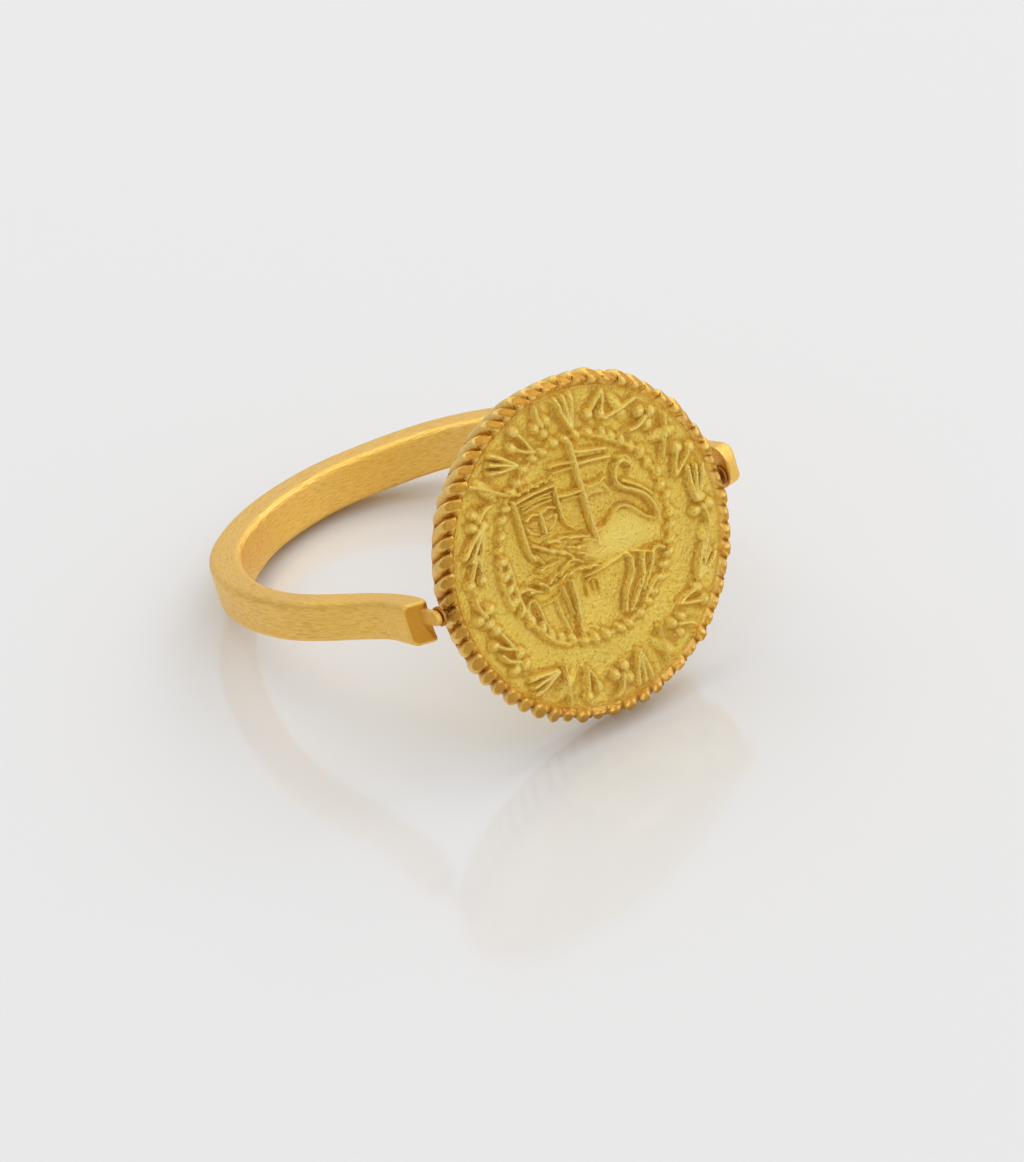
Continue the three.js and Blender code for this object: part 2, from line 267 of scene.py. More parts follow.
def band_row(i, shrink=0.0, push=0.0):
    """One ring of points. Past the left end it shrinks by a share and is pushed forward, for the facet."""
    (x, y), (out_x, out_y) = inner_line[i], line_out[i]
    share = (y + ARM_FRONT) / (HOOP_LENGTH + BACK_THICKNESS + ARM_FRONT)
    height = ARM_HEIGHT + (BACK_HEIGHT - ARM_HEIGHT) * share
    thick = ARM_THICKNESS + (BACK_THICKNESS - ARM_THICKNESS) * float(smooth_step(y, SHOULDER, HOOP_LENGTH))
    fuller = 1 + END_SWELL * (1 - float(smooth_step(y, LEFT_ARM_CUT, LEFT_ARM_CUT + LEAN_OVER)))
    ring = section(thick * fuller, height * fuller)
    middle = np.array([thick / 2, 0])
    if travel[i] < KNOB_ROUND:
        ring = middle + (ring - middle) * math.sqrt(1 - KNOB_TAPER * (1 - travel[i] / KNOB_ROUND) ** 2)
    facet_middle = np.array([thick * FACET_AT, 0])
    ring = facet_middle + (ring - facet_middle) * (1 - shrink)
    out, along_finger = ring[:, 0], ring[:, 1]
    soft = WOBBLE * hand_wobble(travel[i] + 0 * out, out, along_finger)
    px, py, pz = x + out_x * (out + soft), y + out_y * (out + soft), along_finger + 0.6 * soft
    if x < 0:
        lean = 1 - smooth_step(y, LEFT_ARM_CUT, LEFT_ARM_CUT + LEAN_OVER)
        py = py + math.tan(LEFT_ARM_SLANT) * np.maximum(-ARM_INSIDE - px, 0) * lean - push
    points = np.stack([px, py, pz], -1) @ lean_and_twist.T
    points[:, 0] = clear_of_medallion(*points.T)
    return points, np.stack([travel[i] + 0 * out, out, along_finger], -1)


last = len(inner_line) - 1
stations = [band_row(i) for i in range(last)]
stations += [band_row(last, share * FACET_EASE, share * FACET_PUSH) for share in (0.0, 0.5, 1.0)]
band_rings = np.array([points for points, _ in stations])
unbent = np.array([values for _, values in stations])
print("the band has", band_rings.shape[0], "rings of", band_rings.shape[1], "points")

# %% Skin the band and close its two ends
def capped_tube(rings):
    count, around = rings.shape[:2]
    points = rings.reshape(-1, 3)
    faces = grid_faces(count, around, wrap_columns=True)
    first_middle, last_middle = rings[0].mean(0), rings[-1].mean(0)
    points = np.concatenate([points, [first_middle, last_middle]])
    a, b = len(points) - 2, len(points) - 1
    faces += [(a, (j + 1) % around, j) for j in range(around)]
    start = (count - 1) * around
    faces += [(b, start + j, start + (j + 1) % around) for j in range(around)]
    return points, faces


band_mesh_points, band_faces = capped_tube(band_rings)
hoop_band = mesh_piece("hoop_band", band_mesh_points, band_faces, ring_frame, "hoop")
along = np.concatenate([unbent.reshape(-1, 3), [unbent[0].mean(0), unbent[-1].mean(0)]])
add_values(hoop_band, "along_band", along, "FLOAT_VECTOR")
# The facet mask marks the slanted end facet; the band's finish uses it to paint shade onto that facet.
facet_mask = np.zeros(len(along))
facet_mask[-2 - band_rings.shape[1] : -2] = 1
facet_mask[-1] = 1
add_values(hoop_band, "facet", facet_mask)
for face in hoop_band.data.polygons[-band_rings.shape[1] :]:
    face.use_smooth = False
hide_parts("shank")

# %% [markdown]
# ## The tongue of the left arm
# The left arm stops short of the pivot, and a thin tongue with a round end reaches on to hold the pin.
# It is an outline pushed sideways and bevelled, which is all that a filed flat piece needs.

# %% Make the tongue
TONGUE_BEVEL = 0.05


def tongue_outline():
    turns = np.linspace(math.pi / 2, 3 * math.pi / 2, 17)
    front = [(TONGUE_HALF_HEIGHT * math.cos(t), TONGUE_HALF_HEIGHT * math.sin(t)) for t in turns]
    back = LEFT_ARM_CUT + 2 * TONGUE_THICKNESS
    return [(back, TONGUE_HALF_HEIGHT)] + front + [(back, -TONGUE_HALF_HEIGHT)]


def make_tongue():
    shaper = bmesh.new()
    corners = [shaper.verts.new((-ARM_INSIDE * MM, y * MM, z * MM)) for y, z in tongue_outline()]
    face = shaper.faces.new(corners)
    pushed = bmesh.ops.extrude_face_region(shaper, geom=[face])["geom"]
    moved = [part for part in pushed if isinstance(part, bmesh.types.BMVert)]
    bmesh.ops.translate(shaper, verts=moved, vec=(-TONGUE_THICKNESS * MM, 0, 0))
    bevel = TONGUE_BEVEL * MM
    bmesh.ops.bevel(shaper, geom=shaper.edges[:], offset=bevel, segments=2, profile=0.5, affect="EDGES")
    points = np.array([vertex.co for vertex in shaper.verts]) / MM
    faces = [[vertex.index for vertex in face.verts] for face in shaper.faces]
    shaper.free()
    return mesh_piece("left_tongue", points, faces, ring_frame, "hoop", smooth=False)


left_tongue = make_tongue()
tongue_places = np.array([vertex.co for vertex in left_tongue.data.vertices]) / MM
add_values(left_tongue, "along_band", tongue_places, "FLOAT_VECTOR")
add_values(left_tongue, "facet", np.zeros(len(tongue_places)))

# %% [markdown]
# ## The border of ridges
# A thick wire with rounded ridges is soldered round the medallion. The ridges run across it on a slant, like
# the strands of a rope, and a file has flattened their front ends into small ovals. Modelling each ridge
# by hand would be slow; instead one profile is carried round the circle, and between ridges it is pressed in.
# The wall falls away behind the ridges, so that from the front they are nearly all that shows of the border.

# %% Draw the profile of the border, from its bore over the front and round to the back
PRESSED_DEEP = 0.52
SLANT = 0.42
PROFILE_STEP = 0.07
FRONT = THICKNESS / 2
OVAL_MIDDLE, OVAL_LONG, OVAL_WIDE = (RADIUS - 0.25, FRONT - 0.25), 0.42, 0.62


def border_profile():
    """Points as (distance from the centre, height out of the middle plane), denser where it curves."""
    corners = [
        (BORE - 0.12, FIELD - 0.16), (BORE - 0.03, FIELD - 0.02), (BORE + 0.03, FIELD + 0.12),
        (BORE + 0.1, FRONT - 0.1), (BORE + 0.25, FRONT), (BORE + 0.44, FRONT - 0.12),
        (RADIUS - 0.08, FRONT - 0.42), (RADIUS, FRONT - 0.7), (RADIUS - 0.04, 0.0), (RADIUS - 0.2, -0.42),
        (RADIUS - 0.46, 0.06 - FRONT), (BORE + 0.1, -FRONT), (BORE - 0.02, -FIELD),
        (BORE - 0.12, 0.1 - FIELD),
    ]
    points = []
    for a, b in zip(corners[:-1], corners[1:]):
        steps = max(2, round(math.dist(a, b) / PROFILE_STEP))
        points += [tuple(p + (q - p) * k / steps for p, q in zip(a, b)) for k in range(steps)]
    points = np.array(points + [corners[-1]])
    for _ in range(2):
        points[1:-1] = (points[:-2] + 2 * points[1:-1] + points[2:]) / 4
    return points


profile = border_profile()
profile_ways = np.gradient(profile, axis=0)
profile_out = np.stack([-profile_ways[:, 1], profile_ways[:, 0]], -1)
profile_out /= np.linalg.norm(profile_out, axis=1)[:, None]
print("border profile of", len(profile), "points")

# %% Press the grooves in between the ridges
RIDGE_STEPS = 14


def border_points():
    dice = np.random.default_rng(11)
    columns = RIDGES * RIDGE_STEPS
    ridge = np.arange(columns) // RIDGE_STEPS
    phase = (np.arange(columns) % RIDGE_STEPS) / RIDGE_STEPS * 2 - 1
    shift = dice.uniform(-0.1, 0.1, RIDGES + 1)
    shift[-1] = shift[0]
    start, stop = ridge + shift[ridge], ridge + 1 + shift[ridge + 1]
    turn = 2 * math.pi * (start + (stop - start) * (phase + 1) / 2) / RIDGES
    dome = np.sqrt(np.maximum(1 - phase**2, 0))
    proud = dice.uniform(-0.1, 0.03, RIDGES)[ridge]
    filed = dice.uniform(0.86, 0.96, RIDGES)[ridge]
    points, groove, ovals = [], [], []
    for (r, w), (nr, nw) in zip(profile, profile_out):
        outside = smooth_step(r, BORE - 0.1, BORE + 0.06)
        back_face = smooth_step(-w, FRONT - 0.12, FRONT)
        reach = min(PRESSED_DEEP, max(r - BORE, w - FIELD) + 0.05)
        from_middle = ((r - OVAL_MIDDLE[0]) ** 2 + (w - OVAL_MIDDLE[1]) ** 2) / OVAL_LONG**2
        oval = smooth_step(1 - from_middle - (phase / OVAL_WIDE) ** 2, 0.0, 0.2)
        lobe = dome * (1 - oval) + np.minimum(dome, filed) * oval
        deep = reach * outside * (1 - 0.75 * back_face) * (1 - lobe) - proud * outside * (1 - back_face)
        radius, height = r - nr * deep, w - nw * deep
        angle = turn - SLANT * w / RADIUS
        points.append(np.stack([radius * np.cos(angle), radius * np.sin(angle), height + 0 * radius], -1))
        groove.append(outside * (1 - dome))
        ovals.append(oval)
    return np.array(points), np.array(groove), np.array(ovals)


border_grid, groove, ovals = border_points()
border_ring = mesh_piece(
    "ridged_border",
    border_grid.reshape(-1, 3),
    grid_faces(*border_grid.shape[:2], wrap_rows=True, wrap_columns=True),
    medallion_frame,
    "medallion",
)
# The groove mask marks the grooves between the ridges; the border's finish paints shade into them.
add_values(border_ring, "hollow", groove)
add_values(border_ring, "filed", ovals)
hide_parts("border_wire")

# %% [markdown]
# ## The cast face
# The picture on the medallion was cut in wax and cast, so every line is soft and stands on a sandy ground.
# A height map suits such low relief: we lay a fine grid over the plate and raise it under each stroke of the
# design. Strokes melt into each other where they meet, as wax does, because their heights are added softly.

# %% A round plate of grid points
SOLDER_GAP = 0.02
PLATE = BORE - SOLDER_GAP
RINGS, SPOKES = 150, 760
spoke_turn = np.linspace(0, 2 * math.pi, SPOKES, endpoint=False)[None, :]
ring_radius = (np.linspace(0.02, PLATE, RINGS))[:, None]
face_x, face_y = ring_radius * np.cos(spoke_turn), ring_radius * np.sin(spoke_turn)
print("the face is drawn on", face_x.size, "points")

# %% [markdown]
# ## Strokes
# A stroke is a line with a width and a height. Its cross section is round, like a wire half sunk in wax.
# Curves are smoothed from a few chosen points, and a blob is an oval mound for fleece and flesh.

# %% Stroke helpers
SOFT = 0.03
BOLD = 1.4


class Relief:
    def __init__(self):
        self.sum = np.ones_like(face_x)

    def line(self, points, width, height, taper=1.0, curve=True):
        points = np.array(points, float)
        if curve and len(points) > 2:
            points = smooth_curve(points)
        low, high = points.min(0) - width, points.max(0) + width
        near = (face_x > low[0]) & (face_x < high[0]) & (face_y > low[1]) & (face_y < high[1])
        x, y, total = face_x[near], face_y[near], len(points) - 1
        closest = np.zeros_like(x)
        for k in range(total):
            (ax, ay), (bx, by) = points[k], points[k + 1]
            length = math.hypot(bx - ax, by - ay) + 1e-9
            share = np.clip(((x - ax) * (bx - ax) + (y - ay) * (by - ay)) / length**2, 0, 1)
            gap = np.hypot(x - ax - share * (bx - ax), y - ay - share * (by - ay))
            half = width / 2 * (1 + (taper - 1) * (k + share) / total)
            closest = np.maximum(closest, 1 - (gap / half) ** 2)
        self.sum[near] += np.exp(closest**0.75 * height / SOFT) - 1

    def blob(self, x, y, wide, tall, height, turn=0.0, power=0.6):
        c, s = math.cos(math.radians(turn)), math.sin(math.radians(turn))
        across, up = (face_x - x) * c + (face_y - y) * s, (face_y - y) * c - (face_x - x) * s
        mound = np.maximum(1 - (across / wide) ** 2 - (up / tall) ** 2, 0) ** power
        self.sum += np.exp(mound * height / SOFT) - 1

    def heights(self):
        return BOLD * SOFT * np.log(self.sum)


def smooth_curve(points, steps=7):
    padded = np.concatenate([[2 * points[0] - points[1]], points, [2 * points[-1] - points[-2]]])
    curve = []
    for p0, p1, p2, p3 in zip(padded[:-3], padded[1:-2], padded[2:-1], padded[3:]):
        for t in np.linspace(0, 1, steps, endpoint=False):
            curve.append(
                0.5 * (2 * p1 + (p2 - p0) * t + (2 * p0 - 5 * p1 + 4 * p2 - p3) * t**2
                + (3 * p1 - p0 - 3 * p2 + p3) * t**3)
            )
    return np.array(curve + [points[-1]])


# %% [markdown]
# ## The circle of beads
# Round the lamb runs a circle of beads. The cutter pushed them in one by one, so they are ovals that lean
# over and crowd each other, with a thin rope line that holds them together.

# %% Punch the beads
obverse = Relief()
BEADS, BEAD_CIRCLE = 46, 4.5
CENTRE = (-0.05, 0.5)
dice = np.random.default_rng(5)
for k in range(BEADS):
    turn = 2 * math.pi * (k + dice.uniform(-0.15, 0.15)) / BEADS
    away = BEAD_CIRCLE + dice.uniform(-0.06, 0.06)
    x, y = CENTRE[0] + away * math.cos(turn), CENTRE[1] + away * math.sin(turn)
    leaning = math.degrees(turn) + 35 + dice.uniform(-15, 15)
    obverse.blob(x, y, dice.uniform(0.3, 0.38), dice.uniform(0.2, 0.26), dice.uniform(0.22, 0.3), leaning)
circle = [
    (CENTRE[0] + BEAD_CIRCLE * math.cos(t), CENTRE[1] + BEAD_CIRCLE * math.sin(t))
    for t in np.linspace(0, 2 * math.pi, 49)
]
obverse.line(circle, 0.34, 0.09, curve=False)
INNER_CIRCLE = [(-4.25, 1.2), (-4.15, -0.8), (-3.85, -2.0), (-3.2, -3.0), (-2.4, -3.6)]
obverse.line(INNER_CIRCLE, 0.28, 0.2)
obverse.line([(-4.6, 1.3), (-4.75, 0.2), (-4.6, -1.0)], 0.26, 0.17)
print("beads:", BEADS)

# %% [markdown]
# ## The lamb and its staff
# A lamb stands with its head turned to the front, its fleece in tufts, its tail bent over its back.
# Behind it stands a tall staff with two cross bars and a pennant. Lambs of this kind are an old, common
# device on seals, and the strokes follow the habits of that work: long ropey lines, and few of them.

# %% Staff, cross bars and pennant
obverse.line([(0.36, 4.75), (0.35, 3.0), (0.36, 1.5), (0.4, -0.1)], 0.34, 0.3)
obverse.line([(-0.95, 4.12), (-0.4, 4.05), (0.3, 3.85)], 0.22, 0.22)
obverse.line([(-0.8, 3.78), (-0.2, 3.7), (0.35, 3.62)], 0.2, 0.16)
obverse.line([(0.4, 4.3), (0.9, 4.1), (1.5, 3.95), (2.05, 3.78)], 0.26, 0.26)
obverse.line([(0.4, 3.72), (1.0, 3.62), (1.6, 3.5), (2.15, 3.36)], 0.26, 0.26)
obverse.line([(0.5, 4.02), (1.1, 3.86), (1.8, 3.68)], 0.16, 0.16)
obverse.line([(1.9, 4.35), (2.5, 3.95), (3.0, 3.6), (3.6, 3.15)], 0.22, 0.2)
obverse.line([(1.5, 4.6), (2.1, 4.3), (2.7, 4.15)], 0.2, 0.2)
obverse.line([(-0.85, 2.72), (-0.3, 2.6), (0.3, 2.55)], 0.24, 0.24)
obverse.line([(-0.7, 2.45), (-0.1, 2.36), (0.3, 2.28)], 0.16, 0.14)
obverse.line([(0.45, 2.72), (0.75, 2.52), (1.2, 2.5), (1.6, 2.62)], 0.2, 0.25)
obverse.line([(0.45, 2.15), (0.9, 2.2), (1.4, 2.05)], 0.2, 0.2)
obverse.line([(0.45, 2.4), (1.0, 2.35), (1.5, 2.3)], 0.42, 0.14)
obverse.line([(1.35, 2.45), (1.55, 2.25), (1.7, 1.95)], 0.3, 0.16)

# %% Body, back and belly
obverse.blob(1.35, -0.25, 2.15, 0.95, 0.2, -4, 0.5)
obverse.blob(2.15, 0.1, 1.15, 0.92, 0.21, -25, 0.5)
obverse.blob(3.1, -0.55, 0.72, 0.62, 0.17, 0, 0.6)
BACK = [
    (0.45, 0.55), (0.95, 0.56), (1.35, 0.8), (1.75, 1.08), (2.2, 1.05), (2.6, 0.72), (3.0, 0.25), (3.4, -0.05),
]
obverse.line(BACK, 0.2, 0.27)
BELLY = [(-0.7, -1.08), (0.1, -1.1), (0.9, -1.02), (1.5, -0.92)]
obverse.line(BELLY, 0.18, 0.21)
obverse.line([(1.95, -1.0), (2.4, -1.2), (2.85, -1.42)], 0.16, 0.18)
obverse.line([(3.5, -0.02), (3.62, -0.5), (3.45, -1.1)], 0.2, 0.16)

# %% Tail
TAIL = [
    (3.0, 2.68), (2.75, 2.93), (2.4, 2.88), (2.15, 2.55), (2.12, 2.15), (2.4, 1.8),
    (2.85, 1.5), (3.3, 1.12), (3.6, 0.65), (3.72, 0.15), (3.66, -0.25),
]
obverse.line(TAIL, 0.27, 0.29)
obverse.line([(2.45, 2.1), (2.8, 1.85), (3.3, 1.45), (3.75, 0.95)], 0.24, 0.2)
obverse.line([(2.5, 3.15), (3.0, 3.02), (3.15, 2.6), (2.95, 2.35)], 0.22, 0.2)

# %% Legs
obverse.line([(1.6, -0.95), (1.78, -1.35), (1.6, -1.95), (1.1, -2.6), (0.8, -3.35)], 0.3, 0.26, 0.75)
obverse.line([(2.45, -1.3), (2.3, -1.75), (2.15, -2.25), (1.6, -2.9), (1.05, -3.45)], 0.32, 0.25, 0.75)
obverse.line([(2.95, -1.55), (2.75, -1.95), (2.3, -2.5), (2.0, -2.85)], 0.26, 0.22, 0.7)
obverse.line([(2.95, -1.5), (3.3, -1.35), (3.6, -1.55)], 0.24, 0.18)
obverse.line([(2.85, -2.6), (2.3, -3.0), (1.9, -3.35)], 0.26, 0.18)
obverse.line([(-1.42, -0.95), (-1.42, -1.6), (-1.5, -2.4), (-1.58, -3.4)], 0.3, 0.25)
obverse.line([(-1.95, -1.05), (-1.85, -1.7), (-1.74, -2.45)], 0.2, 0.2, 0.4)
obverse.line([(-2.35, -1.5), (-2.25, -2.4), (-2.1, -3.1)], 0.26, 0.12)
NEAR_KNEE = [(-3.8, -1.95), (-3.92, -1.3), (-3.68, -0.98), (-3.42, -1.2), (-3.3, -1.9), (-3.2, -2.5)]
obverse.line(NEAR_KNEE, 0.22, 0.2)
obverse.line([(-3.3, -1.4), (-2.7, -1.45), (-2.1, -1.3)], 0.14, 0.12)
obverse.line([(-0.75, -1.95), (-0.72, -1.45), (-0.45, -1.32), (-0.12, -1.45), (-0.1, -1.95)], 0.14, 0.15)
obverse.line([(-0.36, -1.45), (-0.36, -1.9)], 0.12, 0.13)

# %% [markdown]
# ## The head
# The head faces us out of a square frame. Its features use the usual drawing-book proportions: the eyes
# about halfway down, the end of the nose halfway from there to the chin, and the mouth a little below it.

# %% Frame and head
obverse.line([(-3.18, 3.4), (-3.12, 2.0), (-3.1, 1.1), (-2.92, 0.62)], 0.26, 0.26)
obverse.line([(-3.15, 3.32), (-2.2, 3.36), (-0.98, 3.3)], 0.2, 0.24)
obverse.line([(-3.0, 3.08), (-2.0, 3.12), (-1.1, 3.06)], 0.11, 0.14)
obverse.line([(-0.96, 3.3), (-0.97, 2.4), (-0.92, 1.6), (-0.6, 1.15)], 0.22, 0.22)
for k in range(9):
    obverse.blob(-3.0 + 0.25 * k, 3.62 + 0.04 * (-1) ** k, 0.15, 0.12, 0.17 + 0.02 * (k % 3), 20)
HEAD_X, CHIN_Y, CROWN_Y = -2.03, 0.95, 3.05
head_tall = CROWN_Y - CHIN_Y
eye_y = CHIN_Y + head_tall / 2 + 0.12
nose_y = eye_y - head_tall / 4
mouth_y = nose_y - head_tall / 12
obverse.blob(HEAD_X, (CHIN_Y + CROWN_Y) / 2, 0.86, head_tall / 2, 0.1, 0, 0.4)
obverse.line([(HEAD_X, eye_y + 0.3), (HEAD_X, eye_y - 0.1), (HEAD_X, nose_y)], 0.24, 0.29, 1.35)
for side in (-1, 1):
    brow = [(HEAD_X + side * x, eye_y + y) for x, y in ((0.14, 0.3), (0.45, 0.4), (0.78, 0.26))]
    obverse.line(brow, 0.19, 0.25)
    obverse.blob(HEAD_X + side * 0.43, eye_y, 0.23, 0.13, 0.26)
    lid = [(HEAD_X + side * x, eye_y + y) for x, y in ((0.17, 0), (0.43, -0.16), (0.7, 0))]
    obverse.line(lid, 0.09, 0.19)
    cheek = [(HEAD_X + side * x, nose_y + y) for x, y in ((0.3, -0.02), (0.6, 0.12), (0.8, 0.42))]
    obverse.line(cheek, 0.24, 0.19)
obverse.line([(HEAD_X - 0.3, mouth_y), (HEAD_X, mouth_y + 0.03), (HEAD_X + 0.3, mouth_y)], 0.14, 0.21)
for k, lift in enumerate((0.0, 0.05, 0.0)):
    lock = [(HEAD_X + x, eye_y + y + 0.16 * k) for x, y in ((-0.75, 0.62), (0, 0.66 + lift), (0.8, 0.6))]
    obverse.line(lock, 0.13, 0.17)
print("eyes at", round(eye_y, 2), "mouth at", round(mouth_y, 2))

# %% [markdown]
# ## The fleece
# Below the head the fleece hangs in tufts. Each is a short thick comma that leans down and to the right.

# %% Tufts
TUFTS = [
    (-2.6, 1.05, -35), (-2.2, 0.75, -38), (-1.7, 0.95, -20), (-1.25, 0.95, -10), (-0.75, 0.78, -15),
    (-0.3, 0.62, -18), (-2.7, 0.55, -55), (-1.75, 0.5, -38), (-1.3, 0.22, -42), (-0.9, 0.35, -30),
    (-0.4, 0.2, -15), (0.0, 0.35, -22), (-2.55, 0.1, 8), (-2.05, 0.12, 5), (-1.75, -0.3, 40),
    (-1.3, -0.15, 15), (-0.9, -0.25, -30), (-0.5, -0.1, -35), (-2.3, -0.45, 30), (-1.7, -0.65, 20),
    (-1.2, -0.6, 12), (-0.65, -0.72, -20), (-0.25, -0.35, -25), (-0.2, -0.8, -10), (-3.75, -0.45, -10),
    (-3.35, -0.7, -14), (-2.85, -0.6, -40), (-2.45, -0.85, 10),
]
obverse.blob(-1.35, 0.1, 1.45, 1.15, 0.1, -15)
dice = np.random.default_rng(9)
for x, y, way in TUFTS:
    long, wide = dice.uniform(0.22, 0.32), dice.uniform(0.24, 0.33)
    c, s = math.cos(math.radians(way)), math.sin(math.radians(way))
    comma = [(x - long * c, y - long * s), (x, y + 0.03), (x + long * c, y + long * s - 0.03)]
    obverse.line(comma, wide, dice.uniform(0.22, 0.31), 0.55)
print("tufts:", len(TUFTS))

# %% [markdown]
# ## The outer band of ornament
# Between the beads and the border runs a band of small ornaments. They are all made from four simple
# marks, which mean nothing: a leaf, a sheaf, a pair of berries and a clover. Each is drawn round its own
# middle with "up" pointing out from the medallion's centre, and then placed on the circle.

# %% Four marks
def placed(points, turn, away, lean=0.0, size=1.0):
    """Moves points drawn round (0, 0), y pointing outwards, to their place on the circle."""
    t, tip = math.radians(turn), math.radians(lean)
    moved = []
    for x, y in points:
        across = size * (x * math.cos(tip) - y * math.sin(tip))
        out = away + size * (x * math.sin(tip) + y * math.cos(tip))
        moved.append((out * math.cos(t) + across * math.sin(t), out * math.sin(t) - across * math.cos(t)))
    return moved


def leaf(turn, away, lean, size):
    (x, y), = placed([(0, 0)], turn, away)
    obverse.blob(x, y, 0.3 * size, 0.74 * size, 0.2, turn - 90 - lean)
    obverse.line(placed([(0, -0.85), (0.04, 0.0), (0, 0.8)], turn, away, lean, size), 0.2, 0.3)


def sheaf(turn, away, lean, size):
    for spread in (-0.38, 0.0, 0.38):
        ray = [(spread * 0.1, -0.75), (spread * 0.7, 0.0), (spread, 0.62)]
        obverse.line(placed(ray, turn, away, lean, size), 0.25, 0.28, 1.3)


def berry(turn, away, lean, size):
    for side in (-1, 1):
        (x, y), = placed([(0.3 * side, 0.35 + 0.12 * side)], turn, away, lean, size)
        obverse.blob(x, y, 0.29 * size, 0.26 * size, 0.3, turn)
        stem = [(0.26 * side, 0.2), (0.16 * side, -0.3), (0.05, -0.75)]
        obverse.line(placed(stem, turn, away, lean, size), 0.25, 0.26)


def clover(turn, away, lean, size):
    for across, out in ((-0.34, 0.0), (0.34, 0.05), (0.0, 0.45)):
        (x, y), = placed([(across, out)], turn, away, lean, size)
        obverse.blob(x, y, 0.31 * size, 0.26 * size, 0.28, turn)
    obverse.line(placed([(0.0, 0.1), (0.1, -0.4), (0.0, -0.8)], turn, away, lean, size), 0.28, 0.28)


# %% Place the marks round the band
MARKS = [
    (5, sheaf, 70), (18, berry, 30), (33, leaf, 35), (45, clover, -30), (58, leaf, -50),
    (69, berry, 160), (84, sheaf, 5), (97, clover, 175), (110, berry, 20), (122, sheaf, 35),
    (135, leaf, 12), (146, clover, 60), (158, sheaf, 75), (170, berry, 80), (185, clover, 100),
    (199, berry, -70), (213, clover, 110), (227, sheaf, -40), (240, leaf, 25), (253, berry, 15),
    (266, clover, 150), (279, sheaf, -12), (291, leaf, -20), (304, clover, -150), (317, berry, 40),
    (330, sheaf, 75), (342, leaf, 80), (354, clover, 95),
]
MARK_CIRCLE = 6.05
dice = np.random.default_rng(21)
for turn, mark, lean in MARKS:
    away = MARK_CIRCLE + dice.uniform(-0.08, 0.08)
    mark(turn + dice.uniform(-1.5, 1.5), away, lean, dice.uniform(0.98, 1.15))
print("marks in the outer band:", len(MARKS))

# %% [markdown]
# ## The sandy ground
# The mould's sand leaves a fine grain all over the casting, coarser in the open ground than on the strokes,
# which fingers have worn smooth. The plate's edge stays low so that it tucks under the border.

# %% Roughen and build the obverse
def cast_grain(seed, amount, scale=0.3):
    grain = wander(seed, scale)(face_x, face_y) + 0.7 * wander(seed + 1, scale * 0.45)(face_x, face_y)
    return amount * grain + 1.2 * amount * wander(seed + 2, 2.4)(face_x, face_y)


UNDERSIDE = 0.02
FULLY_RAISED, FULLY_SUNK = 0.4, 0.1


def face_plate(name, slot_node, heights, grain, facing):
    """A round plate whose top is a height map; facing is 1 at the medallion's front, -1 at its back."""
    edge = smooth_step(ring_radius, PLATE - 0.5, PLATE)
    level = FIELD + heights * (1 - 0.5 * edge) + grain
    top = np.stack([facing * face_x, face_y, facing * level], -1)
    rim = top[-1].copy()
    rim[:, 2] = facing * UNDERSIDE
    points = np.concatenate([top, rim[None]]).reshape(-1, 3)
    faces = grid_faces(RINGS + 1, SPOKES, wrap_columns=True)
    points = np.concatenate([points, [[0, 0, facing * level[0].mean()], [0, 0, facing * UNDERSIDE]]])
    middle, under, start = len(points) - 2, len(points) - 1, RINGS * SPOKES
    faces += [(middle, j, (j + 1) % SPOKES) for j in range(SPOKES)]
    faces += [(under, start + (j + 1) % SPOKES, start + j) for j in range(SPOKES)]
    piece = mesh_piece(name, points, faces, medallion_frame, "medallion")
    # The raised and valley masks let the cast finish paint highlights, with some wear, on the strokes and
    # shade in the low places between them.
    raised = np.concatenate([heights.ravel(), np.zeros(SPOKES + 2)])
    add_values(piece, "raised", raised / FULLY_RAISED)
    around = sum(np.roll(heights, k, axis=1) for k in (-7, -4, 4, 7)) / 4
    across = (np.roll(heights, 4, axis=0) + np.roll(heights, -4, axis=0)) / 2
    valley = np.clip(((around + across) / 2 - heights) / FULLY_SUNK, -1, 1)
    add_values(piece, "valley", np.concatenate([valley.ravel(), np.zeros(SPOKES + 2)]))
    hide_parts(slot_node)
    return piece


obverse_heights = obverse.heights()
ground = 1 - 0.55 * np.clip(obverse_heights / 0.2, 0, 1)
obverse_face = face_plate("obverse_face", "obverse_plate", obverse_heights, cast_grain(31, 0.012) * ground, 1)
print("highest point of the design:", round(float(obverse_heights.max()), 2), "mm above the field")

# %% [markdown]
# ## The reverse
# The back of the medallion was left plain. It still has the grain of the casting and a slight dish.

# %% Build the reverse
plain = 0 * face_x + 0.03 * smooth_step(ring_radius, 2.0, 6.5)
reverse_face = face_plate("reverse_face", "reverse_plate", plain, cast_grain(41, 0.006), -1)

# %% [markdown]
# ## Gold, finished four ways
# All the metal is one alloy, but each part was finished differently: the band is brushed along its length,
# with painted shade on its slanted facet; the casting keeps a matt skin with worn tops, painted highlights and
# glints on its tops and painted shade in its hollows; the border is filed on its front and dull in its
# grooves, with painted shade in the grooves and on the filed ovals and painted highlights on its ridges; and
# the pins are drawn smooth.
# What these finishes share goes into node groups, which are built once and given other numbers each time.

# %% Helpers for node groups
def linear(red, green, blue):
    """A colour as mixed on a screen, 0 to 255, turned into light values."""
    shares = [value / 255 for value in (red, green, blue)]
    return tuple(v / 12.92 if v < 0.0405 else ((v + 0.055) / 1.055) ** 2.4 for v in shares) + (1.0,)


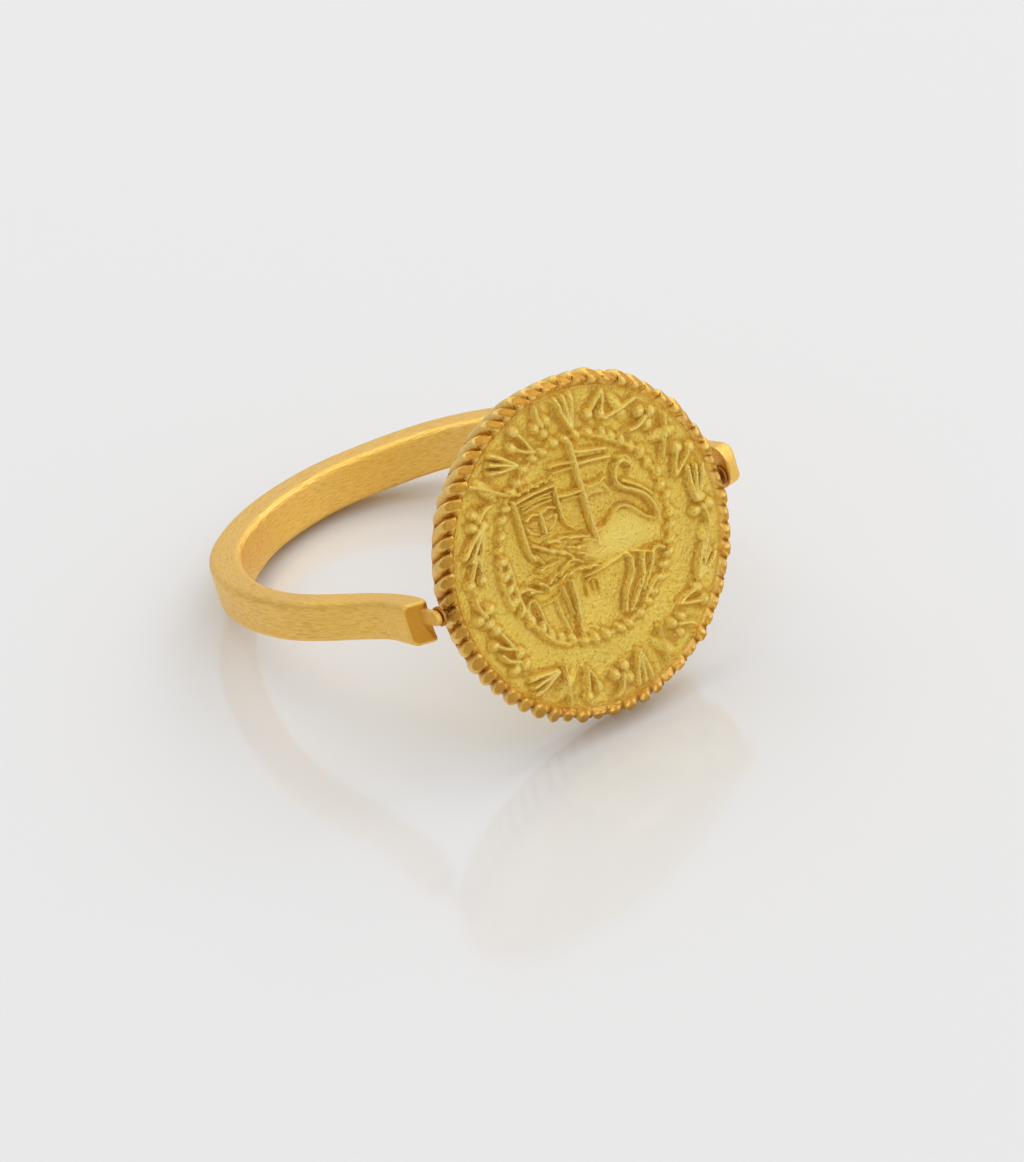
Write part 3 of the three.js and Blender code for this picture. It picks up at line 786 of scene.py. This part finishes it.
def new_group(name, inputs, outputs):
    group = bpy.data.node_groups.new(name, "ShaderNodeTree")
    for label, kind, value in inputs:
        socket = group.interface.new_socket(label, in_out="INPUT", socket_type=kind)
        if value is not None:
            socket.default_value = value
    for label, kind in outputs:
        group.interface.new_socket(label, in_out="OUTPUT", socket_type=kind)
    return group, group.nodes.new("NodeGroupInput"), group.nodes.new("NodeGroupOutput")


def add_node(tree, kind, links=(), **settings):
    node = tree.nodes.new(kind)
    for key, value in settings.items():
        if key.startswith("in_"):
            node.inputs[int(key[3:])].default_value = value
        else:
            setattr(node, key, value)
    for source, target in links:
        tree.links.new(source, node.inputs[target])
    return node


def feed(tree, value, socket):
    """Links a socket to another node's output, or sets it to a fixed value."""
    if isinstance(value, bpy.types.NodeSocket):
        tree.links.new(value, socket)
    else:
        socket.default_value = value


def math_node(tree, operation, first, second):
    node = add_node(tree, "ShaderNodeMath", operation=operation)
    feed(tree, first, node.inputs[0])
    feed(tree, second, node.inputs[1])
    return node.outputs[0]


def mix_colours(tree, share, first, second):
    node = add_node(tree, "ShaderNodeMix", [(share, "Factor")], data_type="RGBA")
    tree.links.new(first, node.inputs[6])
    tree.links.new(second, node.inputs[7])
    return node.outputs[2]


def noise(tree, place, scale, detail):
    node = add_node(tree, "ShaderNodeTexNoise", [(place, "Vector")])
    feed(tree, scale, node.inputs["Scale"])
    node.inputs["Detail"].default_value = detail
    return node


def map_range(tree, value, low, high, to_low, to_high):
    links = [(value, 0)]
    node = add_node(tree, "ShaderNodeMapRange", links, in_1=low, in_2=high, in_3=to_low, in_4=to_high)
    return node.outputs[0]


# %% [markdown]
# ## The brushed grain
# Emery drawn along the band leaves fine lines. Noise stretched along the band's own length makes them, so the
# group takes a position measured along the bar before it was bent. Without that, the lines would run
# straight through the bend instead of following it.

# %% Build the brushed grain group
brushed, taken, given = new_group(
    "brushed_grain",
    [
        ("Along", "NodeSocketVector", None), ("Fineness", "NodeSocketFloat", 15.0),
        ("Stretch", "NodeSocketFloat", 0.16),
    ],
    [("Lines", "NodeSocketFloat"), ("Blotches", "NodeSocketFloat")],
)
parts = add_node(brushed, "ShaderNodeSeparateXYZ", [(taken.outputs["Along"], 0)])
pulled = math_node(brushed, "MULTIPLY", parts.outputs[0], taken.outputs["Stretch"])
shares = [(pulled, 0), (parts.outputs[1], 1), (parts.outputs[2], 2)]
joined = add_node(brushed, "ShaderNodeCombineXYZ", shares)
fine = noise(brushed, joined.outputs[0], taken.outputs["Fineness"], 5.0)
broad = noise(brushed, taken.outputs["Along"], 0.45, 3.0)
brushed.links.new(fine.outputs["Fac"], given.inputs["Lines"])
brushed.links.new(broad.outputs["Fac"], given.inputs["Blotches"])
print("group:", brushed.name)

# %% [markdown]
# ## The cast skin
# Sand leaves two sizes of grain: a close tooth that breaks up every reflection, and sparse small pits.

# %% Build the cast skin group
skin, taken, given = new_group(
    "cast_skin",
    [("Place", "NodeSocketVector", None), ("Grain", "NodeSocketFloat", 7.0)],
    [("Height", "NodeSocketFloat"), ("Blotches", "NodeSocketFloat")],
)
place, grain = taken.outputs["Place"], taken.outputs["Grain"]
tooth = noise(skin, place, grain, 6.0)
tooth.inputs["Roughness"].default_value = 0.62
pits = add_node(skin, "ShaderNodeTexVoronoi", [(place, "Vector"), (grain, "Scale")])
shallow = math_node(skin, "MINIMUM", pits.outputs["Distance"], 0.45)
height = math_node(skin, "ADD", tooth.outputs["Fac"], math_node(skin, "MULTIPLY", shallow, 0.5))
patches = noise(skin, place, 0.6, 3.0)
skin.links.new(height, given.inputs["Height"])
skin.links.new(patches.outputs["Fac"], given.inputs["Blotches"])
print("group:", skin.name)

# %% [markdown]
# ## Wear, tarnish, painted shade and painted highlights
# Gold that is handled goes pale on its high places and keeps a deeper, redder colour in its hollows. The
# same two masks also paint shade into hollows and highlights onto crests. This group mixes three golds by
# two masks, and moves the roughness the same way.

# %% Build the gold group for wear, tarnish, painted shade and painted highlights
wear_and_shade, taken, given = new_group(
    "wear_and_shade_gold",
    [
        ("Plain", "NodeSocketColor", linear(230, 185, 100)),
        ("Hollow", "NodeSocketColor", linear(150, 95, 30)),
        ("Worn", "NodeSocketColor", linear(245, 215, 150)),
        ("In hollow", "NodeSocketFloat", 0.0),
        ("On crest", "NodeSocketFloat", 0.0),
        ("Blotches", "NodeSocketFloat", 0.5),
        ("Matt", "NodeSocketFloat", 0.4),
    ],
    [("Colour", "NodeSocketColor"), ("Roughness", "NodeSocketFloat")],
)
uneven = map_range(wear_and_shade, taken.outputs["Blotches"], 0.3, 0.7, -0.12, 0.12)
hollow, crest = (
    add_node(wear_and_shade, "ShaderNodeClamp", [(math_node(wear_and_shade, "ADD", taken.outputs[mask], uneven), 0)]).outputs[0]
    for mask in ("In hollow", "On crest")
)
colour = mix_colours(wear_and_shade, hollow, taken.outputs["Plain"], taken.outputs["Hollow"])
colour = mix_colours(wear_and_shade, crest, colour, taken.outputs["Worn"])
rough = math_node(wear_and_shade, "ADD", taken.outputs["Matt"], math_node(wear_and_shade, "MULTIPLY", hollow, 0.12))
rough = math_node(wear_and_shade, "SUBTRACT", rough, math_node(wear_and_shade, "MULTIPLY", crest, 0.08))
wear_and_shade.links.new(colour, given.inputs["Colour"])
wear_and_shade.links.new(rough, given.inputs["Roughness"])
print("group:", wear_and_shade.name)

# %% [markdown]
# ## The four finishes
# Each finish is a metal shader with a gold group for wear, tarnish and painted light for its colour and a bump
# for its skin. The masks come from values stored on the mesh when it was made: how far along the band, how
# deep in a groove. Through them the colour also carries painted shade and painted highlights.

# %% Helpers for the finishes
def new_finish(name):
    finish = bpy.data.materials.new(name)
    finish.use_nodes = True
    tree = finish.node_tree
    metal = tree.nodes["Principled BSDF"]
    metal.inputs["Metallic"].default_value = 1.0
    return finish, tree, metal


def stored(tree, name, output="Fac"):
    return add_node(tree, "ShaderNodeAttribute", attribute_name=name).outputs[output]


def spread(tree, value, low, high, top):
    """Stretches a value so that low gives nothing and high gives the top amount."""
    return map_range(tree, value, low, high, 0.0, top)


def in_millimetres(tree):
    place = add_node(tree, "ShaderNodeTexCoord")
    scaled = add_node(tree, "ShaderNodeVectorMath", [(place.outputs["Object"], 0)], operation="SCALE")
    scaled.inputs["Scale"].default_value = 1 / MM
    return scaled.outputs[0]


def place_group(tree, group, links=(), **values):
    node = tree.nodes.new("ShaderNodeGroup")
    node.node_tree = group
    for label, value in values.items():
        node.inputs[label].default_value = value
    for source, label in links:
        tree.links.new(source, node.inputs[label])
    return node


def finish_off(tree, metal, colour, height, deep_mm):
    tree.links.new(colour.outputs["Colour"], metal.inputs["Base Color"])
    tree.links.new(colour.outputs["Roughness"], metal.inputs["Roughness"])
    bump = add_node(tree, "ShaderNodeBump", [(height, "Height")])
    bump.inputs["Distance"].default_value = deep_mm * MM
    tree.links.new(bump.outputs["Normal"], metal.inputs["Normal"])


# %% Forged and brushed gold, for the band
forged_gold, tree, metal = new_finish("forged_gold")
along_band = stored(tree, "along_band", "Vector")
lines = place_group(tree, brushed, [(along_band, "Along")], Fineness=15.0, Stretch=0.16)
on_facet = stored(tree, "facet")
# Painted shade: the slanted facet gets the dark hollow colour and none of the pale streaks, standing in for
# the shade on the face it turns from the light. The brushed lines alone give random light and dark streaks.
bright = math_node(tree, "SUBTRACT", spread(tree, lines.outputs["Lines"], 0.45, 0.7, 0.6), on_facet)
dark = spread(tree, lines.outputs["Lines"], 0.48, 0.3, 0.35)
dark = math_node(tree, "MAXIMUM", math_node(tree, "MULTIPLY", on_facet, 0.8), dark)
colour = place_group(
    tree, wear_and_shade, [(dark, "In hollow"), (bright, "On crest"), (lines.outputs["Blotches"], "Blotches")],
    Plain=linear(250, 203, 100), Hollow=linear(206, 138, 28), Worn=linear(255, 218, 140), Matt=0.4,
)
finish_off(tree, metal, colour, lines.outputs["Lines"], 0.05)
for piece in (hoop_band, left_tongue):
    piece.data.materials.append(forged_gold)
print("finish:", forged_gold.name)

# %% Cast gold, for the two faces
cast_gold, tree, metal = new_finish("cast_gold")
surface = place_group(tree, skin, [(in_millimetres(tree), "Place")], Grain=8.0)
# Painted light: the valleys and the low spots of the grain are painted darker as shade; the raised strokes are
# painted paler as highlight and wear, and the tops of the grain as glints.
deep = spread(tree, stored(tree, "valley"), 0.1, 0.8, 0.55)
high = spread(tree, stored(tree, "raised"), 0.45, 1.0, 0.5)
between = spread(tree, surface.outputs["Height"], 0.64, 0.44, 0.8)
glint = spread(tree, surface.outputs["Height"], 0.76, 0.9, 0.9)
deep, high = math_node(tree, "MAXIMUM", deep, between), math_node(tree, "MAXIMUM", high, glint)
colour = place_group(
    tree, wear_and_shade, [(deep, "In hollow"), (high, "On crest"), (surface.outputs["Blotches"], "Blotches")],
    Plain=linear(255, 226, 112), Hollow=linear(206, 142, 34), Worn=linear(255, 232, 146), Matt=0.35,
)
finish_off(tree, metal, colour, surface.outputs["Height"], 0.13)
for piece in (obverse_face, reverse_face):
    piece.data.materials.append(cast_gold)
print("finish:", cast_gold.name)

# %% Filed gold, for the border
border_gold, tree, metal = new_finish("border_gold")
surface = place_group(tree, skin, [(in_millimetres(tree), "Place")], Grain=6.0)
# Painted light: the grooves, the filed ovals and the low spots of the grain are painted darker as shade, and
# the ridge tops outside the grooves paler as painted highlights.
groove_mask = stored(tree, "hollow")
filed_mask = math_node(tree, "MULTIPLY", stored(tree, "filed"), 0.6)
deep = math_node(tree, "MAXIMUM", groove_mask, filed_mask)
deep = math_node(tree, "MAXIMUM", deep, spread(tree, surface.outputs["Height"], 0.62, 0.45, 0.5))
high = math_node(tree, "SUBTRACT", spread(tree, groove_mask, 0.5, 0.1, 0.5), filed_mask)
colour = place_group(
    tree, wear_and_shade, [(deep, "In hollow"), (high, "On crest"), (surface.outputs["Blotches"], "Blotches")],
    Plain=linear(250, 204, 96), Hollow=linear(172, 106, 16), Worn=linear(255, 224, 146), Matt=0.36,
)
finish_off(tree, metal, colour, surface.outputs["Height"], 0.07)
border_ring.data.materials.append(border_gold)
print("finish:", border_gold.name)

# %% Drawn gold, for the pins, washers and bearing tubes
pin_gold, tree, metal = new_finish("pin_gold")
surface = place_group(tree, skin, [(in_millimetres(tree), "Place")], Grain=10.0)
colour = place_group(
    tree, wear_and_shade, [(surface.outputs["Blotches"], "Blotches"), (surface.outputs["Blotches"], "In hollow")],
    Plain=linear(228, 178, 96), Hollow=linear(160, 104, 40), Worn=linear(244, 210, 140), Matt=0.34,
)
finish_off(tree, metal, colour, surface.outputs["Height"], 0.012)
for side in ("left", "right"):
    for kind in ("pivot_pin", "washer", "bearing_tube"):
        node = frame["nodes"][f"{kind}_{side}"]
        node.data.materials.clear()
        node.data.materials.append(pin_gold)
print("finish:", pin_gold.name)

# %% [markdown]
# ## The table
# The ring lies on a pale polished board. A light grey with a clear shine gives the soft mirror image under
# the metal. A large flat sheet is enough, since the camera sees nothing but its middle.

# %% Lay the board
def make_board(half):
    shaper = bmesh.new()
    corners = [shaper.verts.new((x * half, y * half, 0)) for x, y in ((-1, -1), (1, -1), (1, 1), (-1, 1))]
    shaper.faces.new(corners)
    mesh = bpy.data.meshes.new("board")
    shaper.to_mesh(mesh)
    shaper.free()
    board = bpy.data.objects.new("board", mesh)
    bpy.context.scene.collection.objects.link(board)
    board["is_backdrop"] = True
    return board


BOARD_GAP = 0.02
board = make_board(3.0)
board.location.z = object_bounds()[0].z - BOARD_GAP * MM
board_finish = bpy.data.materials.new("pale_board")
board_finish.use_nodes = True
paint = board_finish.node_tree.nodes["Principled BSDF"]
paint.inputs["Base Color"].default_value = linear(227, 227, 228)
paint.inputs["Roughness"].default_value = 0.1
paint.inputs["IOR"].default_value = 1.7
board.data.materials.append(board_finish)
print("board at", round(board.location.z / MM, 3), "mm")

# %% [markdown]
# ## Soft light
# Metal shows what is round it, so the light is drawn as large pale surfaces: a sheet at the right, a broader
# and dimmer one overhead, and a room that is brightest towards the front right and darker behind the left.

# %% Set the lamps and the room
def soft_sheet(name, place, size, brightness):
    lamp = bpy.data.lights.new(name, "AREA")
    lamp.shape = "SQUARE"
    lamp.size = size
    lamp.energy = brightness * math.pi * size**2
    holder = bpy.data.objects.new(name, lamp)
    bpy.context.scene.collection.objects.link(holder)
    holder.location = place
    holder.rotation_mode = "QUATERNION"
    holder.rotation_quaternion = (Vector(place) * -1).to_track_quat("-Z", "Y")
    return holder


soft_sheet("sheet_right", (0.55, 0.1, 0.5), 0.5, 1.1)
soft_sheet("sheet_top", (-0.1, 0.35, 0.7), 0.6, 0.9)
room = bpy.data.worlds.new("room")
bpy.context.scene.world = room
room.use_nodes = True
tree = room.node_tree
looking = add_node(tree, "ShaderNodeTexCoord")
bright_side = Vector((0.62, -0.4, 0.66)).normalized()
facing = add_node(tree, "ShaderNodeVectorMath", [(looking.outputs["Generated"], 0)], operation="DOT_PRODUCT")
facing.inputs[1].default_value = bright_side
level = map_range(tree, facing.outputs["Value"], -0.7, 0.9, 0.42, 1.04)
sky = tree.nodes["Background"]
tree.links.new(level, sky.inputs["Strength"])
sky.inputs["Color"].default_value = (1.0, 0.995, 0.985, 1.0)
bpy.context.scene.view_settings.view_transform = "Standard"

# %% [markdown]
# ## The camera
# A long lens from a little above and to the left of the medallion keeps the circles true.

# %% Place the camera
VIEW_ROUND, VIEW_UP, VIEW_ROLL = math.radians(-36.54), math.radians(33.99), math.radians(-4.24)
VIEW_DISTANCE = 0.380
AIM = pivot + Vector((0.67, 6.10, -5.17)) * MM
LENS = 267.26

back = Vector((
    math.sin(VIEW_ROUND) * math.cos(VIEW_UP), -math.cos(VIEW_ROUND) * math.cos(VIEW_UP), math.sin(VIEW_UP)
))
camera = bpy.data.objects.new("camera", bpy.data.cameras.new("camera"))
bpy.context.scene.collection.objects.link(camera)
camera.location = AIM + back * VIEW_DISTANCE
camera.rotation_mode = "QUATERNION"
upright = (-back).to_track_quat("-Z", "Y")
camera.rotation_quaternion = upright @ Matrix.Rotation(VIEW_ROLL, 3, "Z").to_quaternion()
camera.data.lens = LENS
camera.data.sensor_width = 36.0
camera.data.clip_start, camera.data.clip_end = 0.01, 20.0
bpy.context.scene.camera = camera
print("camera at", [round(v / MM, 1) for v in camera.location], "mm")
